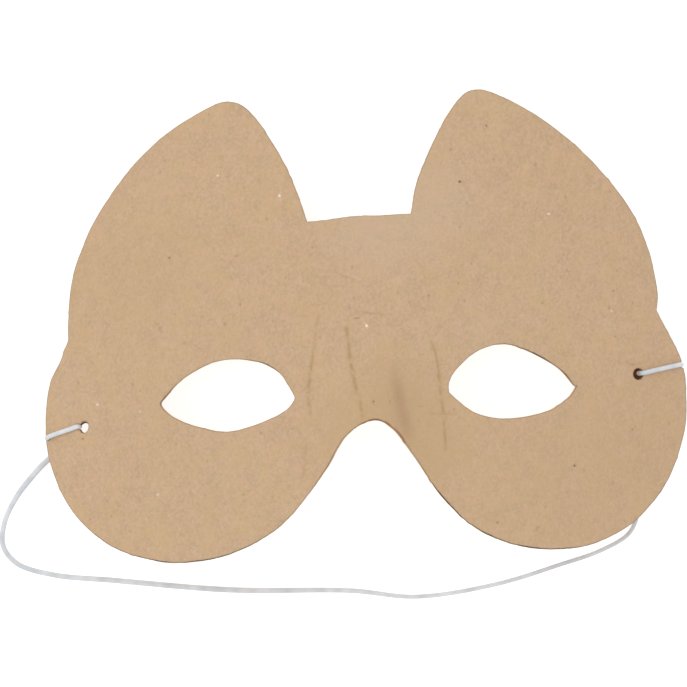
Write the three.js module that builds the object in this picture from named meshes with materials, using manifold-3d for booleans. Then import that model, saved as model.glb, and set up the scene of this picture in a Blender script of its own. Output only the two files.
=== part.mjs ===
// Cat half mask, die-cut from kraft board and bent to the face, with an elastic thread tied to both cheeks.
// Millimetres, +Z up. The mask lies front up on its ear flanks and on the thread under its cheeks.
// The origin is on the surface it lies on, under the middle of the board.

import * as THREE from 'three';
import { mergeVertices } from 'three/addons/utils/BufferGeometryUtils.js';
import Module from 'manifold-3d';

const wasm = await Module();
wasm.setup();

// Board: heights are measured from the temples, the dents where ear and cheek meet
const boardThickness = 1.2;
const halfWidth = 97.5;
const earRise = 68.5;
const browRise = 31.7;
const browArch = 0.7;
const leftCheekDrop = 68.3;
const rightCheekDrop = 69.8;
const noseArchDrop = 28.4;

// Bend to the face, and the ridge pressed over the nose
const bendRadius = 210;
const browFlat = 10;
const ridgeHeight = 5;
const ridgeHalfWidth = 20;
const ridgeStartDrop = -4;

// Eye holes
const eyeSpacing = 85;
const eyeOffCentre = 0.6;
const eyeDrop = 19;
const eyeLength = 39;
const eyeHeight = 22.2;

// Elastic thread, the holes it comes through and the nicks it pulls into the rim
const threadDiameter = 1.8;
const threadGap = 0.3;
const holeDiameter = 3.8;
const leftHoleInset = 12.1;
const leftHoleDrop = 26.7;
const rightHoleInset = 15.4;
const rightHoleDrop = 18.6;
const nickDepth = 1.6;
const leftNickDrop = 29.6;
const rightNickDrop = 16.4;
const knotDiameter = 4.2;
const knotHeight = 3.2;
const knotShift = 4.6;

// Finish of the solids
const KRAFT = { color: 0xc9ab89, roughness: 0.9, metalness: 0 };
const ELASTIC = { color: 0xe4e2de, roughness: 0.75, metalness: 0 };

// Fineness of the facets
const columnStep = 4;
const rowStep = 6;
const outlineStep = 3.4;
const threadSides = 8;
const stepsPerSpan = 2;
const holeQuarterSides = 3;
const browSteps = 8;
const nickSides = 12;
const knotSides = 14;
const knotRings = 9;

// Margins of the working
const mergeDistance = 1e-4;
const slopeProbe = 0.01;
const steepestTilt = Math.PI / 6;
const tiltHalvings = 40;

// Inner edge, tip and flank of an ear: shares of halfWidth and earRise
const EAR = [
  { across: 0.187, rise: 0.616 },
  { across: 0.25, rise: 0.806 },
  { across: 0.314, rise: 0.947 },
  { across: 0.378, rise: 1.0 },
  { across: 0.446, rise: 0.972 },
  { across: 0.576, rise: 0.863 },
  { across: 0.71, rise: 0.7 },
  { across: 0.822, rise: 0.502 },
  { across: 0.895, rise: 0.27 },
  { across: 0.916, rise: 0.1 },
];
const earFootAcross = 0.158;
const templeAcross = 0.913;

// Outer side of a cheek, from temple to chin: shares of halfWidth and of the cheek's drop
const CHEEK_OUTSIDE = [
  { across: 0.947, drop: 0.1 },
  { across: 0.983, drop: 0.24 },
  { across: 1.0, drop: 0.39 },
  { across: 0.98, drop: 0.56 },
  { across: 0.919, drop: 0.753 },
  { across: 0.81, drop: 0.904 },
  { across: 0.677, drop: 0.985 },
  { across: 0.564, drop: 1.0 },
];

// Inner side of a cheek, from chin up to the nose: shares of halfWidth and of the climb to the nose arch
const CHEEK_INSIDE = [
  { across: 0.431, climb: 0.066 },
  { across: 0.303, climb: 0.225 },
  { across: 0.205, climb: 0.451 },
  { across: 0.136, climb: 0.691 },
  { across: 0.074, climb: 0.907 },
];

// Rim of an eye hole from its inner end over the top: shares of half its length and half its height
const EYE = [
  { out: -0.98, up: -0.2 },
  { out: -0.95, up: 0.13 },
  { out: -0.84, up: 0.41 },
  { out: -0.51, up: 0.83 },
  { out: -0.1, up: 1.0 },
  { out: 0.28, up: 0.83 },
  { out: 0.63, up: 0.45 },
  { out: 0.92, up: -0.02 },
  { out: 1.0, up: -0.3 },
  { out: 0.86, up: -0.56 },
  { out: 0.5, up: -0.88 },
  { out: -0.1, up: -1.0 },
  { out: -0.51, up: -0.87 },
  { out: -0.83, up: -0.5 },
];

// Middle line of the elastic thread, from the knot behind the left hole to the knot behind the right one
const THREAD_ROUTE = [
  [-86.5, -27.6, 6.1],
  [-85.0, -27.3, 7.6],
  [-85.2, -27.2, 9.0],
  [-86.1, -27.3, 9.9],
  [-87.6, -27.5, 10.0],
  [-96.2, -30.2, 6.7],
  [-97.3, -30.7, 5.8],
  [-97.4, -31.0, 4.3],
  [-96.3, -31.1, 3.3],
  [-94.3, -31.6, 2.6],
  [-92.8, -33.3, 1.5],
  [-94.0, -35.9, 1.0],
  [-98.0, -38.9, 0.9],
  [-102.4, -43.2, 0.9],
  [-107.8, -49.7, 0.9],
  [-111.9, -57.5, 0.9],
  [-112.7, -64.7, 0.9],
  [-108.7, -70.4, 0.9],
  [-98.0, -74.4, 0.9],
  [-80.0, -77.0, 0.9],
  [-44.0, -81.8, 0.9],
  [-7.0, -83.9, 0.9],
  [13.0, -86.8, 0.9],
  [38.0, -84.0, 0.9],
  [57.0, -79.0, 0.9],
  [70.2, -75.0, 0.9],
  [78.9, -70.1, 0.9],
  [81.9, -63.6, 0.9],
  [83.4, -50.0, 0.9],
  [87.0, -33.0, 0.9],
  [90.8, -21.8, 1.1],
  [93.5, -18.4, 1.8],
  [95.1, -17.9, 1.9],
  [96.1, -17.8, 2.9],
  [96.1, -17.7, 4.2],
  [95.0, -17.7, 5.2],
  [84.2, -18.7, 9.9],
  [82.7, -18.9, 9.9],
  [81.8, -19.1, 9.0],
  [81.6, -19.2, 7.6],
  [83.4, -19.2, 5.9],
];

function point(x, y) {
  return new THREE.Vector2(x, y);
}

// Points along a smooth line, about outlineStep apart
function smoothLine(points) {
  const curve = new THREE.SplineCurve(points);
  return curve.getSpacedPoints(Math.ceil(curve.getLength() / outlineStep));
}

// One ear from its foot at the brow round to the temple, on the right
function earLine() {
  const rows = EAR.map((row) => point(row.across * halfWidth, row.rise * earRise));
  const foot = point(earFootAcross * halfWidth, browRise);
  const temple = point(templeAcross * halfWidth, 0);
  return smoothLine([foot, ...rows, temple]);
}

// The low arch of the brow between the ears' feet, from right to left
function browLine() {
  const points = [];
  for (let step = 1; step < browSteps; step += 1) {
    const share = 1 - 2 * step / browSteps;
    points.push(point(share * earFootAcross * halfWidth, browRise + browArch * (1 - share ** 2)));
  }
  return points;
}

// Both cheeks in one line, from the right temple under the nose to the left one
function cheekLine() {
  const halfLine = (drop) => {
    const outside = CHEEK_OUTSIDE.map((row) => point(row.across * halfWidth, -row.drop * drop));
    const inside = CHEEK_INSIDE.map((row) => (
      point(row.across * halfWidth, -drop + row.climb * (drop - noseArchDrop))
    ));
    return [point(templeAcross * halfWidth, 0), ...outside, ...inside];
  };
  const mirrored = halfLine(leftCheekDrop).map((p) => point(-p.x, p.y)).reverse();
  return smoothLine([...halfLine(rightCheekDrop), point(0, -noseArchDrop), ...mirrored]);
}

// Outer line of the board seen from the front, counter-clockwise from the right temple
function boardLine() {
  const rightEar = earLine().reverse();
  const leftEar = earLine().map((p) => point(-p.x, p.y));
  const cheeks = cheekLine().reverse();
  return [...rightEar, ...browLine(), ...leftEar, ...cheeks.slice(1, -1)];
}

// Rim of one eye hole, side = 1 on the right and -1 on the left
function eyeLine(side) {
  const centre = point(side * eyeSpacing / 2 + eyeOffCentre, -eyeDrop);
  const rows = EYE.map((row) => (
    point(centre.x + side * row.out * eyeLength / 2, centre.y + row.up * eyeHeight / 2)
  ));
  return smoothLine([...rows, rows[0]]).slice(0, -1);
}

function ramp(value, from, to) {
  return THREE.MathUtils.smoothstep(value, from, to);
}

// Height of the board's front face at a point of the plan
function frontHeight(x, y) {
  const run = Math.max(Math.abs(x) - browFlat, 0);
  const bend = Math.sqrt(bendRadius ** 2 - run ** 2) - bendRadius;
  const along = ramp(-y, ridgeStartDrop, noseArchDrop);
  const across = 1 - ramp(Math.abs(x), 0, ridgeHalfWidth);
  return bend + ridgeHeight * along * across;
}

// Height of its back face, one board thickness behind the front along the normal
function backHeight(x, y) {
  const probe = slopeProbe;
  const slopeX = (frontHeight(x + probe, y) - frontHeight(x - probe, y)) / (2 * probe);
  const slopeY = (frontHeight(x, y + probe) - frontHeight(x, y - probe)) / (2 * probe);
  return frontHeight(x, y) - boardThickness * Math.hypot(1, slopeX, slopeY);
}

function toManifold(geometry) {
  const bare = geometry.clone();
  bare.deleteAttribute('normal');
  bare.deleteAttribute('uv');
  const merged = mergeVertices(bare, mergeDistance);
  return new wasm.Manifold(new wasm.Mesh({
    numProp: 3,
    vertProperties: new Float32Array(merged.attributes.position.array),
    triVerts: new Uint32Array(merged.index.array),
  }));
}

function fromManifold(solid) {
  const mesh = solid.getMesh();
  const geometry = new THREE.BufferGeometry();
  geometry.setAttribute('position', new THREE.BufferAttribute(mesh.vertProperties, 3));
  geometry.setIndex(new THREE.BufferAttribute(mesh.triVerts, 1));
  return geometry;
}

// Bent sheet that is larger than the mask, as a closed solid between front and back face
function bentSheet(box, margin) {
  const columns = Math.ceil((box.max.x - box.min.x + 2 * margin) / columnStep);
  const rows = Math.ceil((box.max.y - box.min.y + 2 * margin) / rowStep);
  const positions = [];
  for (const height of [frontHeight, backHeight]) {
    for (let row = 0; row <= rows; row += 1) {
      const y = box.min.y - margin + row * rowStep;
      for (let column = 0; column <= columns; column += 1) {
        const x = box.min.x - margin + column * columnStep;
        positions.push(x, y, height(x, y));
      }
    }
  }
  const stride = columns + 1;
  const back = stride * (rows + 1);
  const index = [];
  const quad = (a, b, c, d) => index.push(a, b, c, a, c, d);
  for (let row = 0; row < rows; row += 1) {
    for (let column = 0; column < columns; column += 1) {
      const corner = row * stride + column;
      quad(corner, corner + 1, corner + stride + 1, corner + stride);
      quad(back + corner, back + corner + stride, back + corner + stride + 1, back + corner + 1);
    }
  }
  for (let column = 0; column < columns; column += 1) {
    const far = rows * stride + column;
    quad(column, back + column, back + column + 1, column + 1);
    quad(far, far + 1, back + far + 1, back + far);
  }
  for (let row = 0; row < rows; row += 1) {
    const near = row * stride;
    const end = near + columns;
    quad(near, near + stride, back + near + stride, back + near);
    quad(end, back + end, back + end + stride, end + stride);
  }
  const geometry = new THREE.BufferGeometry();
  geometry.setAttribute('position', new THREE.Float32BufferAttribute(positions, 3));
  geometry.setIndex(index);
  return toManifold(geometry);
}

// The point where the outline crosses a height on one side, used to place the nicks
function rimPoint(line, side, drop) {
  const crossings = line.map((from, i) => [from, line[(i + 1) % line.length]])
    .filter(([from, to]) => (from.y + drop) * (to.y + drop) <= 0 && from.y !== to.y)
    .map(([from, to]) => from.x + (to.x - from.x) * (-drop - from.y) / (to.y - from.y));
  const x = side * Math.max(...crossings.map((value) => side * value));
  return point(x, -drop);
}

function roundPath(centre, radius) {
  return new THREE.Path().absarc(centre.x, centre.y, radius, 0, 2 * Math.PI, false);
}

const leftHole = point(-(halfWidth - leftHoleInset), -leftHoleDrop);
const rightHole = point(halfWidth - rightHoleInset, -rightHoleDrop);
const outline = boardLine();

// The board: the bent sheet cut along the outline, with eye holes, thread holes and nicks cut out
function boardGeometry() {
  const shape = new THREE.Shape(outline);
  shape.holes.push(new THREE.Path(eyeLine(1)), new THREE.Path(eyeLine(-1)));
  shape.holes.push(roundPath(leftHole, holeDiameter / 2), roundPath(rightHole, holeDiameter / 2));
  const box = new THREE.Box2().setFromPoints(outline);
  const deep = 2 * halfWidth;
  const plan = new THREE.ExtrudeGeometry(shape, {
    depth: deep,
    bevelEnabled: false,
    curveSegments: 2 * holeQuarterSides,
  });
  plan.translate(0, 0, -deep / 2);
  let board = bentSheet(box, 2 * columnStep).intersect(toManifold(plan));
  for (const [side, drop] of [[-1, leftNickDrop], [1, rightNickDrop]]) {
    const nickRadius = threadDiameter / 2 + threadGap;
    const rim = rimPoint(outline, side, drop);
    const nick = new THREE.CylinderGeometry(nickRadius, nickRadius, deep, nickSides);
    nick.rotateX(Math.PI / 2);
    nick.translate(rim.x + side * (nickRadius - nickDepth), rim.y, 0);
    board = board.subtract(toManifold(nick));
  }
  return fromManifold(board);
}

// Tip forward at which ear flanks touch the surface while the cheeks stay one thread above it
function restingTilt() {
  const backAt = (p) => backHeight(p.x, p.y);
  const ears = outline.filter((p) => p.y > 0);
  const cheeks = outline.filter((p) => p.y <= 0);
  const lowest = (points, tilt) => Math.min(...points.map((p) => (
    backAt(p) * Math.cos(tilt) - p.y * Math.sin(tilt)
  )));
  let low = 0;
  let high = steepestTilt;
  for (let i = 0; i < tiltHalvings; i += 1) {
    const tilt = (low + high) / 2;
    const cheekLift = lowest(cheeks, tilt) - lowest(ears, tilt);
    if (cheekLift < threadDiameter + threadGap) low = tilt;
    else high = tilt;
  }
  return high;
}

// A curve that is stepped by its points, so that the steps are short where the thread turns tightly
class ThreadCurve extends THREE.CatmullRomCurve3 {
  getPointAt(share, target) {
    return this.getPoint(share, target);
  }

  getTangentAt(share, target) {
    return this.getTangent(share, target);
  }
}

function threadGeometry() {
  const section = new THREE.Shape();
  for (let side = 0; side < threadSides; side += 1) {
    const angle = (side + 0.5) * 2 * Math.PI / threadSides;
    const corner = point(Math.cos(angle), Math.sin(angle)).multiplyScalar(threadDiameter / 2);
    if (side === 0) section.moveTo(corner.x, corner.y);
    else section.lineTo(corner.x, corner.y);
  }
  const path = new ThreadCurve(THREAD_ROUTE.map((p) => new THREE.Vector3(...p)));
  const steps = (THREAD_ROUTE.length - 1) * stepsPerSpan;
  return new THREE.ExtrudeGeometry(section, { steps, extrudePath: path, bevelEnabled: false });
}

// A pulled-tight knot, flattened against the back of the board
function knot(name, side, hole) {
  const geometry = new THREE.SphereGeometry(knotDiameter / 2, knotSides, knotRings);
  geometry.rotateX(Math.PI / 2);
  geometry.scale(1, 1, knotHeight / knotDiameter);
  const mesh = new THREE.Mesh(geometry, finish(ELASTIC));
  mesh.name = name;
  const across = hole.x + side * knotShift;
  const lean = Math.asin((Math.abs(across) - browFlat) / bendRadius) * side;
  const below = boardThickness + threadGap + knotHeight / 2;
  mesh.position.set(
    across - below * Math.sin(lean),
    hole.y,
    frontHeight(across, hole.y) - below * Math.cos(lean),
  );
  mesh.rotation.y = lean;
  return mesh;
}

function finish(colours) {
  return new THREE.MeshStandardMaterial(colours);
}

const maskFrame = new THREE.Group();
const board = new THREE.Mesh(boardGeometry(), finish(KRAFT));
board.name = 'mask_board';
maskFrame.add(board);
maskFrame.add(knot('left_knot', -1, leftHole));
maskFrame.add(knot('right_knot', 1, rightHole));
maskFrame.rotation.x = -restingTilt();
maskFrame.updateMatrixWorld(true);

// Stand the board on the surface with the origin under the middle of its outline
const standing = new THREE.Box3().setFromObject(board, true);
const middle = standing.getCenter(new THREE.Vector3());
maskFrame.position.set(-middle.x, -middle.y, -standing.min.z);

const thread = new THREE.Mesh(threadGeometry(), finish(ELASTIC));
thread.name = 'elastic_thread';

const mask = new THREE.Group();
mask.add(maskFrame, thread);

export default mask;
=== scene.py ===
"""Cat half mask of kraft board with its elastic thread, lying front up on a pale surface."""

import math

import bpy
import numpy as np
from mathutils import Matrix, Vector, noise
from mathutils.geometry import delaunay_2d_cdt


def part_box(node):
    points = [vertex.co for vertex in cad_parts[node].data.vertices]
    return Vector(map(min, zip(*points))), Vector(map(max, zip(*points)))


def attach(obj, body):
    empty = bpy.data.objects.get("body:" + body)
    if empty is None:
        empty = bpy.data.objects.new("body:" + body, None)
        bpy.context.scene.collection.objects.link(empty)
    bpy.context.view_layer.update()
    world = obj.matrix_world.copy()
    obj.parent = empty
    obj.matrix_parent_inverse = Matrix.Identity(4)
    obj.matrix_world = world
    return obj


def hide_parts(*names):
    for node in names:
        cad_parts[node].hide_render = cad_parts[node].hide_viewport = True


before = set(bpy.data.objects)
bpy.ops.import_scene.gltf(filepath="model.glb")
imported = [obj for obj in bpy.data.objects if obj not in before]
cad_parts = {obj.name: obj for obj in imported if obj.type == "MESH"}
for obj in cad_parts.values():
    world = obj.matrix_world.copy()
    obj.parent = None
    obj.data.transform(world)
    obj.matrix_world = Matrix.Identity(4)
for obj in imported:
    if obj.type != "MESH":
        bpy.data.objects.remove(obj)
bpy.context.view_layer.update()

MM = 0.001

# Board
BOARD_THICKNESS = 1.2 * MM
NOSE_ARCH_DROP = 28.4 * MM

# Bend to the face, and the ridge pressed over the nose
BEND_RADIUS = 210 * MM
BROW_FLAT = 10 * MM
RIDGE_HEIGHT = 5 * MM
RIDGE_HALF_WIDTH = 20 * MM
RIDGE_START_DROP = -4 * MM
RESTING_TILT = math.radians(9.34)

# Thread: its usual thickness, and the height of its route's points on the floor
KNOT_DIAMETER = 1.44 * MM
ROUTE_HEIGHT = 0.9 * MM
THREAD_SIDES = 28
THREAD_STEP = 0.4 * MM
KNOT_SIDES = 14
KNOT_VOXEL = 0.13 * MM

# Thickness of the thread in millimetres, at millimetres along it from the left hole
THREAD_THICKNESS = [
    (0, 1.44),
    (20, 1.44),
    (28, 1.85),
    (36, 1.85),
    (50, 1.6),
    (66, 1.55),
    (95, 1.65),
    (131, 1.75),
    (168, 1.5),
    (190, 1.3),
    (250, 1.3),
    (285, 1.44),
    (340, 1.44),
]

# Braided cover of the thread, and how far from its ends painted shade greys it where it runs into the holes
BRAID_DEPTH = 0.07
BRAID_STRANDS = 6
BRAID_PITCH = 5.2 * MM
LEFT_HOLE_SHADE = 3.1 * MM
RIGHT_HOLE_SHADE = 4.2 * MM
HOLE_SHADE_FADE = 1.2 * MM

# Holes of the thread, and the nicks that it pulls into the rim
LEFT_HOLE = Vector((-85.6, -26.7)) * MM
LEFT_HOLE_REACH = Vector((1.45, 1.8)) * MM
LEFT_HOLE_TURN = math.radians(-20)
LEFT_HOLE_NICK = Vector((-87.35, -26.5)) * MM
LEFT_HOLE_SKEW = Vector((-0.1, -0.65)) * MM
RIGHT_HOLE = Vector((82.0, -18.6)) * MM
RIGHT_HOLE_REACH = Vector((1.72, 1.75)) * MM
NICK_RADIUS = 0.82 * MM
NICK_DEPTH = 1.3 * MM
LEFT_NICK_DROP = 29.6 * MM
RIGHT_NICK_DROP = 16.4 * MM

# Fineness of the board's mesh
RIM_STEP = 0.7 * MM
ROLL_WIDTH = 0.35 * MM
SECOND_ROW_WIDTH = 2.2 * ROLL_WIDTH
GRID_STEP = 1.3 * MM
GRID_MARGIN = 0.75 * MM
WALL_ROWS = 4
CREASE_STEP = 0.5 * MM
THREAD_HOLE_LOOPS = (3, 4)

# How unevenly the steel rule cuts the outer line and the eyes, and the thread's holes
OUTER_UNEVEN = 0.11 * MM
EYE_UNEVEN = 0.09 * MM
HOLE_UNEVEN = 0.03 * MM

# Outline in millimetres of the plan: x from the middle, y from the temples, where ear and cheek meet
RIGHT_EAR = [
    (15.4, 32.3),
    (17.6, 41.8),
    (24.3, 55.6),
    (30.7, 65.2),
    (36.2, 68.4),
    (43.5, 66.4),
    (56.1, 58.9),
    (68.9, 47.8),
    (80.5, 33.5),
    (86.8, 19.6),
    (89.2, 6.5),
    (88.7, 0.4),
]
LEFT_EAR = [
    (-15.6, 31.4),
    (-19.0, 42.7),
    (-24.5, 54.8),
    (-31.0, 64.7),
    (-36.7, 68.2),
    (-43.4, 66.7),
    (-56.8, 59.4),
    (-69.2, 48.4),
    (-80.1, 33.8),
    (-86.7, 19.3),
    (-88.9, 6.4),
    (-89.3, -0.5),
]

# The brow between the ears' feet, from right to left
BROW = [
    (15.4, 32.3),
    (12.0, 32.35),
    (7.5, 32.2),
    (2.0, 32.35),
    (-2.5, 32.35),
    (-7.0, 31.9),
    (-11.0, 31.5),
    (-15.6, 31.4),
]

# From the right temple round the right cheek, over the nose arch and round the left cheek
CHEEKS = [
    (88.7, 0.4),
    (92.3, -7.0),
    (96.2, -16.3),
    (96.9, -27.4),
    (95.2, -38.6),
    (89.0, -52.1),
    (78.8, -62.7),
    (66.5, -68.4),
    (54.6, -69.7),
    (41.0, -67.3),
    (29.6, -61.4),
    (20.5, -52.0),
    (13.9, -41.1),
    (6.9, -31.0),
    (0.6, -28.4),
    (-7.3, -32.7),
    (-12.8, -41.1),
    (-19.8, -50.5),
    (-29.0, -59.5),
    (-41.9, -65.9),
    (-54.6, -68.3),
    (-66.5, -67.4),
    (-79.7, -62.3),
    (-90.3, -52.1),
    (-96.4, -38.6),
    (-97.6, -26.8),
    (-96.0, -14.6),
    (-91.6, -5.7),
    (-89.3, -0.5),
]

# Rims of the eye holes, from the inner corner over the top
LEFT_EYE = [
    (-21.9, -21.3),
    (-21.8, -19.9),
    (-23.5, -16.8),
    (-26.2, -12.8),
    (-32.0, -9.6),
    (-39.9, -8.4),
    (-46.9, -9.5),
    (-55.0, -13.7),
    (-60.1, -18.7),
    (-61.7, -21.2),
    (-57.9, -25.1),
    (-51.1, -28.0),
    (-41.9, -29.9),
    (-32.0, -27.6),
    (-24.8, -24.4),
]
RIGHT_EYE = [
    (24.2, -21.2),
    (24.4, -18.2),
    (26.9, -14.3),
    (33.2, -9.4),
    (41.1, -7.6),
    (47.9, -9.8),
    (56.9, -15.2),
    (61.9, -20.9),
    (62.7, -21.4),
    (59.4, -25.2),
    (52.3, -28.6),
    (41.6, -29.9),
    (32.8, -28.2),
    (27.4, -24.5),
]

# Middle line of the thread in millimetres, from the knot behind the left hole to the one behind the right
THREAD_ROUTE = [
    (-87.5, -27.75, 6.0),
    (-86.8, -27.55, 6.6),
    (-86.65, -27.4, 7.3),
    (-86.95, -27.25, 8.15),
    (-87.4, -27.2, 8.7),
    (-88.0, -27.3, 8.85),
    (-89.3, -27.8, 8.4),
    (-95.2, -29.9, 6.3),
    (-96.6, -30.55, 5.65),
    (-96.95, -31.0, 4.9),
    (-96.3, -31.2, 3.6),
    (-94.5, -31.6, 2.7),
    (-92.8, -33.3, 1.5),
    (-94.0, -35.9, 1.0),
    (-98.0, -38.9, 0.9),
    (-102.4, -43.2, 0.9),
    (-107.8, -49.7, 0.9),
    (-111.9, -57.5, 0.9),
    (-112.7, -64.7, 0.9),
    (-108.7, -70.4, 0.9),
    (-98.0, -74.4, 0.9),
    (-80.0, -77.0, 0.9),
    (-44.0, -81.8, 0.9),
    (-7.0, -83.9, 0.9),
    (13.0, -86.8, 0.9),
    (38.0, -84.0, 0.9),
    (57.0, -79.0, 0.9),
    (70.2, -75.0, 0.9),
    (78.9, -70.1, 0.9),
    (81.9, -63.6, 0.9),
    (83.4, -50.0, 0.9),
    (87.0, -33.0, 0.9),
    (90.8, -21.8, 1.1),
    (93.5, -18.4, 1.8),
    (95.1, -18.0, 1.8),
    (95.95, -17.9, 2.6),
    (96.05, -17.75, 3.9),
    (94.95, -17.7, 4.8),
    (93.5, -17.85, 5.4),
    (85.5, -18.65, 8.7),
    (84.5, -18.8, 9.1),
    (83.5, -18.9, 9.05),
    (83.0, -19.05, 8.35),
    (82.75, -19.2, 7.5),
    (82.8, -19.3, 6.7),
    (83.8, -19.4, 5.9),
]

# Lines pressed into the board round the nose, in millimetres of the plan, with depth and half width
CREASES = [
    ([(-13.6, 3.2), (-14.4, -0.5), (-15.0, -4.0), (-15.8, -8.6)], 0.12, 0.5),
    ([(-15.8, -8.6), (-17.0, -15.0), (-17.6, -20.5), (-17.2, -26.0)], 0.23, 0.5),
    ([(-19.0, -35.5), (-19.6, -40.0), (-20.5, -45.0)], 0.12, 0.6),
    ([(-5.4, -0.7), (-4.9, -5.0), (-4.8, -9.4), (-4.0, -15.0), (-3.3, -19.5)], 0.27, 0.5),
    ([(-2.4, -23.0), (-2.0, -26.6)], 0.22, 0.45),
    ([(19.6, -6.0), (20.8, -9.6), (21.4, -15.5), (21.7, -22.0), (22.3, -28.2), (22.4, -38.0)], 0.22, 0.45),
    ([(-16.8, 6.0), (-11.0, 7.0)], 0.1, 0.3),
    ([(-6.4, 15.1), (-2.7, 13.7)], 0.14, 0.3),
    ([(-1.6, 4.1), (2.0, 3.3), (7.4, 2.7)], 0.14, 0.3),
    ([(16.5, 4.4), (18.9, 3.7)], 0.14, 0.3),
    ([(18.4, -27.3), (24.5, -27.7)], 0.1, 0.3),
    ([(5.6, -19.0), (6.5, -23.0)], 0.12, 0.35),
]

# The most marked flecks: x, y and radius in millimetres of the plan, and strength, below 0 if dark
FLECKS = [
    (30.3, 41.2, 0.5, -0.95),
    (60.9, -45.0, 0.52, -0.8),
    (39.1, 57.5, 0.5, -0.6),
    (-57.1, 22.8, 0.55, -0.6),
    (1.5, -22.8, 0.55, -0.6),
    (36.8, -60.6, 0.55, -0.55),
    (75.5, 6.8, 0.5, -0.5),
    (79.3, -35.2, 0.45, -0.5),
    (19.4, 7.8, 0.5, -0.5),
    (75.4, -7.0, 0.45, -0.45),
    (53.5, 4.1, 0.5, -0.45),
    (28.0, 50.8, 0.5, -0.45),
    (-22.7, 15.1, 0.5, -0.4),
    (-38.3, -48.7, 0.5, -0.4),
    (0.6, -0.3, 0.6, 0.75),
    (-23.4, 39.5, 0.6, 0.7),
    (-81.1, -20.1, 0.55, 0.6),
    (74.5, 0.8, 0.5, 0.5),
    (-41.5, 46.4, 0.45, 0.6),
    (-64.0, -47.7, 0.55, 0.45),
    (-68.3, -22.7, 0.5, 0.4),
]

# Soft patches where the board is handled and yellower, or paler: x, y and radius in millimetres, and strength
TONES = [
    (8.0, -27.0, 17.0, 1.0),
    (-12.0, -34.0, 12.0, 0.4),
    (17.0, -39.0, 8.0, 0.9),
    (55.0, -48.0, 34.0, 0.45),
    (88.0, -36.0, 22.0, 0.3),
    (-68.0, 20.0, 30.0, 0.5),
    (-60.0, -38.0, 26.0, 0.2),
    (0.0, 27.0, 17.0, -0.5),
    (24.0, 36.0, 18.0, -0.5),
    (33.0, -4.0, 12.0, -0.4),
]

# How dark the painted shade along the cut line is, and where it is darker, on rims that face away from the
# light, or fainter: x, y and radius in millimetres, and strength
EDGE_SHADE_FAINT = 0.38
EDGE_SHADE_TONES = [
    (0.0, 34.0, 14.0, -0.15),
    (41.0, -67.0, 16.0, 0.75),
    (62.0, -70.0, 10.0, 0.4),
    (88.0, -54.0, 16.0, 0.28),
    (21.0, -53.0, 8.0, 0.85),
    (0.0, -28.5, 5.0, 0.45),
    (-13.0, -41.0, 6.0, 0.3),
    (-29.0, -60.0, 9.0, 0.2),
    (-53.0, -68.0, 15.0, 0.95),
    (-80.0, -62.0, 15.0, 0.4),
    (-60.5, -18.5, 3.0, 0.7),
    (-30.5, -10.5, 6.0, 0.6),
    (50.0, -11.0, 9.0, 0.7),
    (60.0, -19.0, 4.0, 0.4),
]

# Camera, as it looks at the mask in the photograph
CAMERA_PLACE = Vector((-16.0, 141.6, 907.8)) * MM
CAMERA_AIM = Vector((-6.1, -4.6, 15.0)) * MM
CAMERA_ROLL = math.radians(2.6)
CAMERA_LENS = 158.9
SENSOR_WIDTH = 36

# Studio: the floor glows a little, like a light table, but under the right hole it has a painted dark brown
# shade and no glow
FLOOR_HALF = 3.0
FLOOR_GLOW = 0.72
SHADE_MIDDLE = (82.5, -20.5, 0)
SHADE_SIZE = (5.5, 7, 1)
FLOOR_GREY = (0.5, 0.5, 0.5, 1)
SHADE_BROWN = (0.14, 0.075, 0.05, 1)
SURROUNDINGS = 0.78

# Lamps: name, place in metres, side in metres and power in watts
LAMPS = [
    ("key", (-0.9, 0.5, 1.5), 1.3, 9.0),
    ("fill", (1.0, 0.2, 1.5), 1.6, 3.3),
]


def rgb(red, green, blue):
    """Linear colour of an 8-bit sRGB one."""
    def linear(value):
        share = value / 255
        return share / 12.92 if share < 0.04045 else ((share + 0.055) / 1.055) ** 2.4
    return (linear(red), linear(green), linear(blue), 1)


# Colours of the board and of the elastic
KRAFT_DARK = rgb(180, 151, 118)
KRAFT_LIGHT = rgb(204, 176, 145)
KRAFT_YELLOW = rgb(199, 169, 126)
KRAFT_PINK = rgb(214, 170, 146)
KRAFT_HANDLED = rgb(190, 160, 122)
KRAFT_PALE = rgb(200, 175, 150)
FLECK_BROWN = rgb(132, 103, 74)
FLECK_DARK = rgb(92, 68, 46)
FLECK_PALE = rgb(222, 201, 176)
FLECK_WHITE = rgb(252, 240, 222)
CREASE_SHADE_BROWN = rgb(162, 129, 84)
SHOULDER_SHADE_BROWN = rgb(168, 132, 104)
RUB_BROWN = rgb(166, 120, 88)
EDGE_SHADE_DARK = rgb(64, 53, 43)
WALL_DARK = rgb(184, 155, 124)
WALL_LIGHT = rgb(214, 188, 158)
HOLE_WALL_SHADE = rgb(70, 48, 36)
ELASTIC_WHITE = rgb(225, 228, 231)
ELASTIC_GREY = rgb(207, 211, 216)
ELASTIC_HOLLOW_SHADE = rgb(150, 147, 148)
ELASTIC_HOLE_SHADE = rgb(128, 104, 92)

def uniform_spline(points, step):
    """Points along a uniform Catmull-Rom line through points, step apart."""
    dense = []
    for i in range(len(points) - 1):
        p0 = points[max(i - 1, 0)]
        p1, p2 = points[i], points[i + 1]
        p3 = points[min(i + 2, len(points) - 1)]
        v1, v2 = (p2 - p0) / 2, (p3 - p1) / 2
        for k in range(24):
            t = k / 24
            dense.append(
                (2 * p1 - 2 * p2 + v1 + v2) * t ** 3
                + (-3 * p1 + 3 * p2 - 2 * v1 - v2) * t ** 2
                + v1 * t
                + p1
            )
    dense.append(points[-1])
    return evenly(dense, step)


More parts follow.
